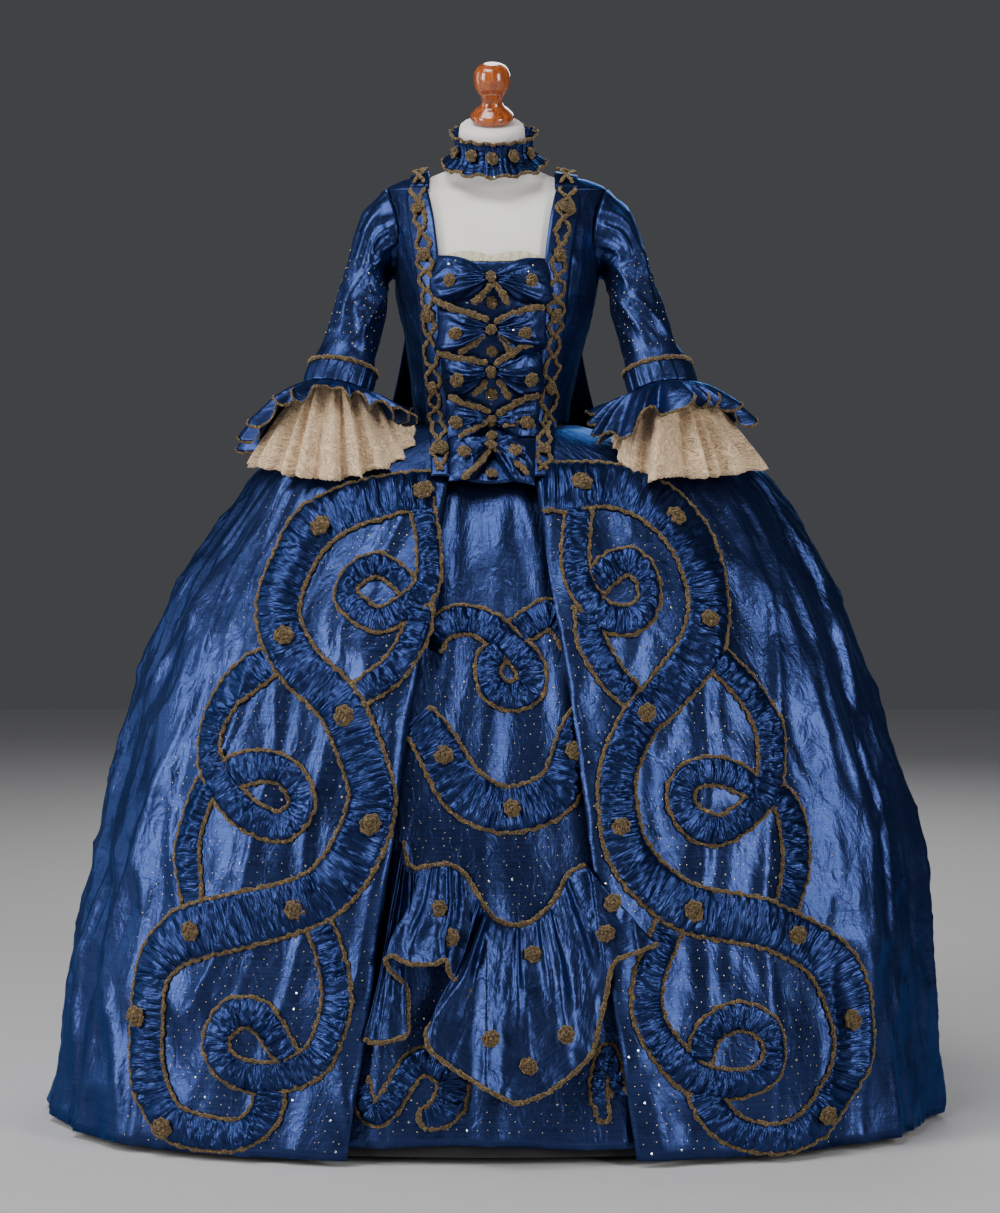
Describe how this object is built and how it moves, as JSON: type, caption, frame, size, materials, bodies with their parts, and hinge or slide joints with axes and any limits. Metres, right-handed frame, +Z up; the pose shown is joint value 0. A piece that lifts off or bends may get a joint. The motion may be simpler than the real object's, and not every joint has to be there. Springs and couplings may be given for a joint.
{
  "type": "robe a la francaise on a dress form",
  "caption": "Open-fronted court gown with a wide hooped skirt, sack back, elbow sleeves with lace ruffles and scrolling ruched trim, worn on a limbless dress form.",
  "frame": {"origin": "centre of the underside of the stand's round base, on the floor", "axes": "+Z up, the gown faces -Y, +X to the left of whoever wears it"},
  "size_m": [1.3564, 1.2364, 1.5665],
  "materials": {
    "blue_silk": "shot silk taffeta, crisp sheen",
    "ruched_silk": "gathered silk taffeta",
    "lace": "corded lace, matte",
    "sheer_frill": "sheer net, matte",
    "black_cloth": "matte",
    "form_cloth": "tight jersey over the form, matte",
    "varnished_wood": "turned and varnished, glossy",
    "painted_stand": "satin"
  },
  "bodies": {
    "root": {"bodice_back": "blue_silk", "bodice_front_left": "blue_silk", "bodice_front_right": "blue_silk", "bow_1": "blue_silk", "bow_2": "blue_silk", "bow_3": "blue_silk", "bow_4": "blue_silk", "bow_5": "blue_silk", "cuff_left": "blue_silk", "cuff_right": "blue_silk", "dress_form": "form_cloth", "foot_scroll_left": "ruched_silk", "foot_scroll_right": "ruched_silk", "lower_volute_left": "ruched_silk", "lower_volute_right": "ruched_silk", "main_scroll_left": "ruched_silk", "main_scroll_right": "ruched_silk", "middle_link_left": "ruched_silk", "middle_link_right": "ruched_silk", "middle_volute_left": "ruched_silk", "middle_volute_right": "ruched_silk", "neck_frill": "sheer_frill", "neck_knob": "varnished_wood", "neck_ruffle": "ruched_silk", "petticoat": "blue_silk", "petticoat_branch": "ruched_silk", "petticoat_flounce": "blue_silk", "petticoat_swag": "ruched_silk", "petticoat_volute": "ruched_silk", "robe_back_left": "blue_silk", "robe_back_right": "blue_silk", "robe_front_left": "blue_silk", "robe_front_right": "blue_silk", "robing_left": "blue_silk", "robing_right": "blue_silk", "sack_back": "blue_silk", "sleeve_flounce_left": "blue_silk", "sleeve_flounce_right": "blue_silk", "sleeve_lace_left": "lace", "sleeve_lace_right": "lace", "sleeve_left": "blue_silk", "sleeve_right": "blue_silk", "stand_base": "painted_stand", "stand_pole": "painted_stand", "stomacher": "blue_silk", "under_petticoat": "black_cloth", "upper_link_left": "ruched_silk", "upper_link_right": "ruched_silk", "upper_volute_left": "ruched_silk", "upper_volute_right": "ruched_silk"}
  },
  "joints": []
}
